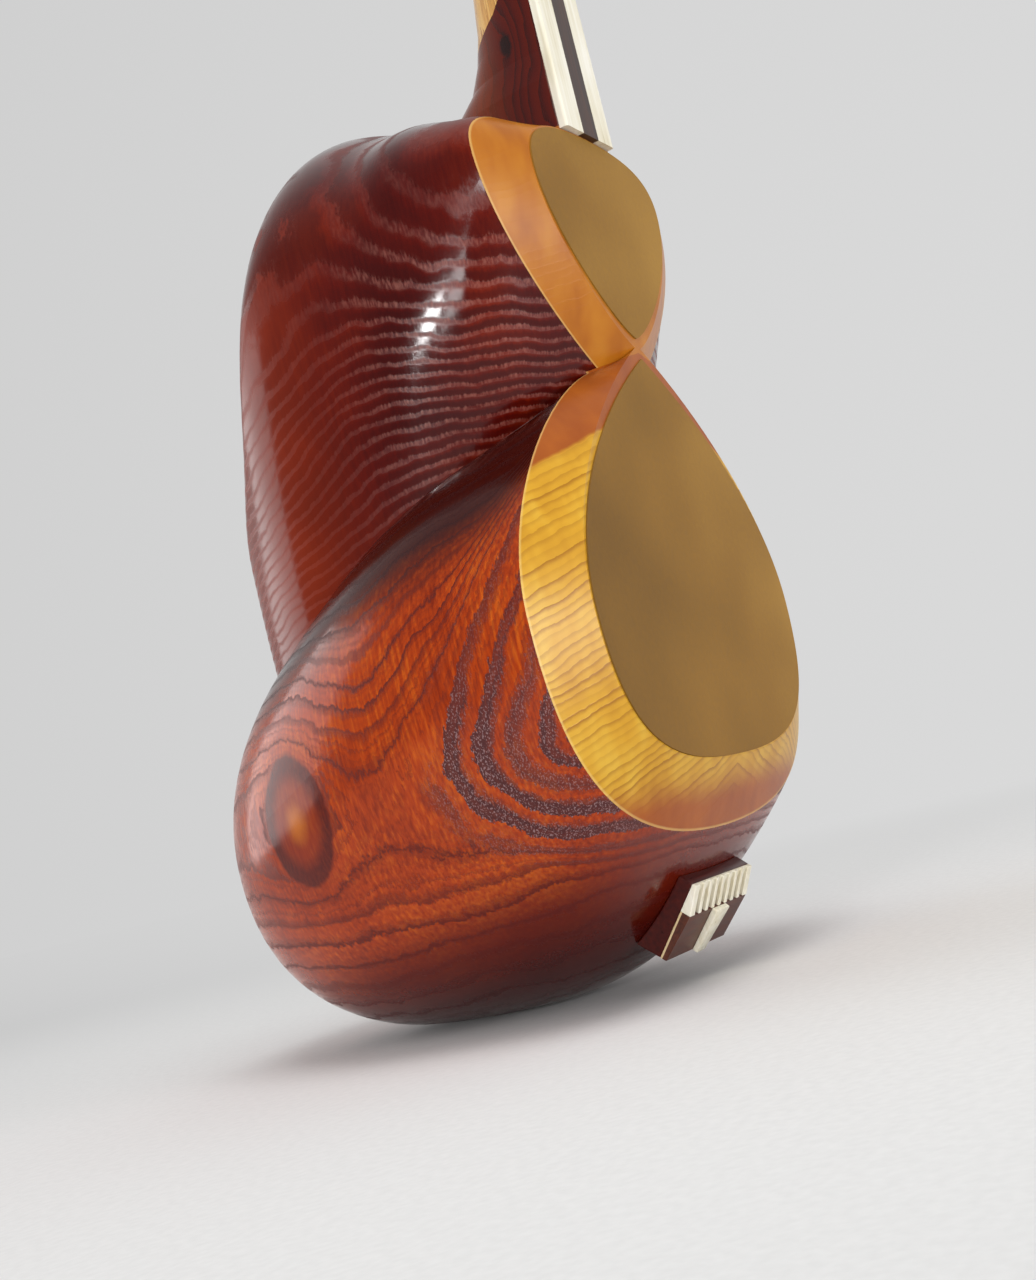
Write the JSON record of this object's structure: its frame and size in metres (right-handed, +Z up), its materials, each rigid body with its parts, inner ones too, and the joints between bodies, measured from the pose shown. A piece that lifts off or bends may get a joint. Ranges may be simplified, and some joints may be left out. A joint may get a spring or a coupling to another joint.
{
  "type": "persian tar",
  "caption": "Long-necked plucked lute with a double-bowl lacquered wooden body, two skin faces, bone and dark wood fingerboard, tied gut frets and side pegs.",
  "frame": {"origin": "where the bridge stands, on the middle line of the lower skin's face", "axes": "+Z up along the neck towards the head, -Y out of the skins towards the player's view, +X to the instrument's side"},
  "size_m": [0.2224, 0.2099, 0.9529],
  "materials": {
    "mulberry": "gloss lacquer",
    "skin": "matte",
    "heel_wood": "gloss lacquer",
    "shaft_wood": "gloss lacquer",
    "bone": "polished",
    "dark_wood": "satin",
    "head_wood": "gloss lacquer",
    "peg_wood": "satin",
    "gut": "satin"
  },
  "bodies": {
    "body": {"bowl_left": "mulberry", "bowl_right": "mulberry", "lower_skin": "skin", "upper_skin": "skin", "neck_heel": "heel_wood", "neck_shaft": "shaft_wood", "bone_strip_left": "bone", "fingerboard_middle": "dark_wood", "bone_strip_right": "bone", "nut": "bone", "pegbox": "head_wood", "head_cap": "bone", "tail_comb": "bone", "tail_plate": "dark_wood", "tail_tongue": "bone", "tail_block": "mulberry"},
    "peg_1": {"peg_1": "peg_wood"},
    "peg_2": {"peg_2": "peg_wood"},
    "peg_3": {"peg_3": "peg_wood"},
    "peg_4": {"peg_4": "peg_wood"},
    "peg_5": {"peg_5": "peg_wood"},
    "peg_6": {"peg_6": "peg_wood"},
    "fret_01": {"fret_01": "gut"},
    "fret_02": {"fret_02": "gut"},
    "fret_03": {"fret_03": "gut"},
    "fret_04": {"fret_04": "gut"},
    "fret_05": {"fret_05": "gut"},
    "fret_06": {"fret_06": "gut"},
    "fret_07": {"fret_07": "gut"},
    "fret_08": {"fret_08": "gut"},
    "fret_09": {"fret_09": "gut"},
    "fret_10": {"fret_10": "gut"},
    "fret_11": {"fret_11": "gut"},
    "fret_12": {"fret_12": "gut"},
    "fret_13": {"fret_13": "gut"},
    "fret_14": {"fret_14": "gut"},
    "fret_15": {"fret_15": "gut"},
    "fret_16": {"fret_16": "gut"},
    "fret_17": {"fret_17": "gut"},
    "fret_18": {"fret_18": "gut"},
    "fret_19": {"fret_19": "gut"},
    "fret_20": {"fret_20": "gut"},
    "fret_21": {"fret_21": "gut"},
    "fret_22": {"fret_22": "gut"}
  },
  "joints": [
    {"name": "peg_1_turn", "type": "hinge", "parent": "body", "child": "peg_1", "pos_m": [0, 0.01677, 0.68727], "axis": [-1, 0, 0], "continuous": true},
    {"name": "peg_2_turn", "type": "hinge", "parent": "body", "child": "peg_2", "pos_m": [0, 0.02093, 0.70683], "axis": [1, 0, 0], "continuous": true},
    {"name": "peg_3_turn", "type": "hinge", "parent": "body", "child": "peg_3", "pos_m": [0, 0.02508, 0.7264], "axis": [-1, 0, 0], "continuous": true},
    {"name": "peg_4_turn", "type": "hinge", "parent": "body", "child": "peg_4", "pos_m": [0, 0.02924, 0.74596], "axis": [1, 0, 0], "continuous": true},
    {"name": "peg_5_turn", "type": "hinge", "parent": "body", "child": "peg_5", "pos_m": [0, 0.0334, 0.76552], "axis": [-1, 0, 0], "continuous": true},
    {"name": "peg_6_turn", "type": "hinge", "parent": "body", "child": "peg_6", "pos_m": [0, 0.03756, 0.78509], "axis": [1, 0, 0], "continuous": true},
    {"name": "fret_01_slide", "type": "slide", "parent": "body", "child": "fret_01", "axis": [0, 0, 1], "range_m": [-0.006, 0.006]},
    {"name": "fret_02_slide", "type": "slide", "parent": "body", "child": "fret_02", "axis": [0, 0, 1], "range_m": [-0.006, 0.006]},
    {"name": "fret_03_slide", "type": "slide", "parent": "body", "child": "fret_03", "axis": [0, 0, 1], "range_m": [-0.006, 0.006]},
    {"name": "fret_04_slide", "type": "slide", "parent": "body", "child": "fret_04", "axis": [0, 0, 1], "range_m": [-0.006, 0.006]},
    {"name": "fret_05_slide", "type": "slide", "parent": "body", "child": "fret_05", "axis": [0, 0, 1], "range_m": [-0.006, 0.006]},
    {"name": "fret_06_slide", "type": "slide", "parent": "body", "child": "fret_06", "axis": [0, 0, 1], "range_m": [-0.006, 0.006]},
    {"name": "fret_07_slide", "type": "slide", "parent": "body", "child": "fret_07", "axis": [0, 0, 1], "range_m": [-0.005, 0.006]},
    {"name": "fret_08_slide", "type": "slide", "parent": "body", "child": "fret_08", "axis": [0, 0, 1], "range_m": [-0.004, 0.005]},
    {"name": "fret_09_slide", "type": "slide", "parent": "body", "child": "fret_09", "axis": [0, 0, 1], "range_m": [-0.0035, 0.004]},
    {"name": "fret_10_slide", "type": "slide", "parent": "body", "child": "fret_10", "axis": [0, 0, 1], "range_m": [-0.006, 0.0035]},
    {"name": "fret_11_slide", "type": "slide", "parent": "body", "child": "fret_11", "axis": [0, 0, 1], "range_m": [-0.006, 0.006]},
    {"name": "fret_12_slide", "type": "slide", "parent": "body", "child": "fret_12", "axis": [0, 0, 1], "range_m": [-0.004, 0.006]},
    {"name": "fret_13_slide", "type": "slide", "parent": "body", "child": "fret_13", "axis": [0, 0, 1], "range_m": [-0.0055, 0.004]},
    {"name": "fret_14_slide", "type": "slide", "parent": "body", "child": "fret_14", "axis": [0, 0, 1], "range_m": [-0.006, 0.0055]},
    {"name": "fret_15_slide", "type": "slide", "parent": "body", "child": "fret_15", "axis": [0, 0, 1], "range_m": [-0.0035, 0.006]},
    {"name": "fret_16_slide", "type": "slide", "parent": "body", "child": "fret_16", "axis": [0, 0, 1], "range_m": [-0.004, 0.0035]},
    {"name": "fret_17_slide", "type": "slide", "parent": "body", "child": "fret_17", "axis": [0, 0, 1], "range_m": [-0.006, 0.004]},
    {"name": "fret_18_slide", "type": "slide", "parent": "body", "child": "fret_18", "axis": [0, 0, 1], "range_m": [-0.006, 0.006]},
    {"name": "fret_19_slide", "type": "slide", "parent": "body", "child": "fret_19", "axis": [0, 0, 1], "range_m": [-0.0025, 0.006]},
    {"name": "fret_20_slide", "type": "slide", "parent": "body", "child": "fret_20", "axis": [0, 0, 1], "range_m": [-0.0035, 0.0025]},
    {"name": "fret_21_slide", "type": "slide", "parent": "body", "child": "fret_21", "axis": [0, 0, 1], "range_m": [-0.005, 0.0035]},
    {"name": "fret_22_slide", "type": "slide", "parent": "body", "child": "fret_22", "axis": [0, 0, 1], "range_m": [-0.006, 0.005]}
  ]
}
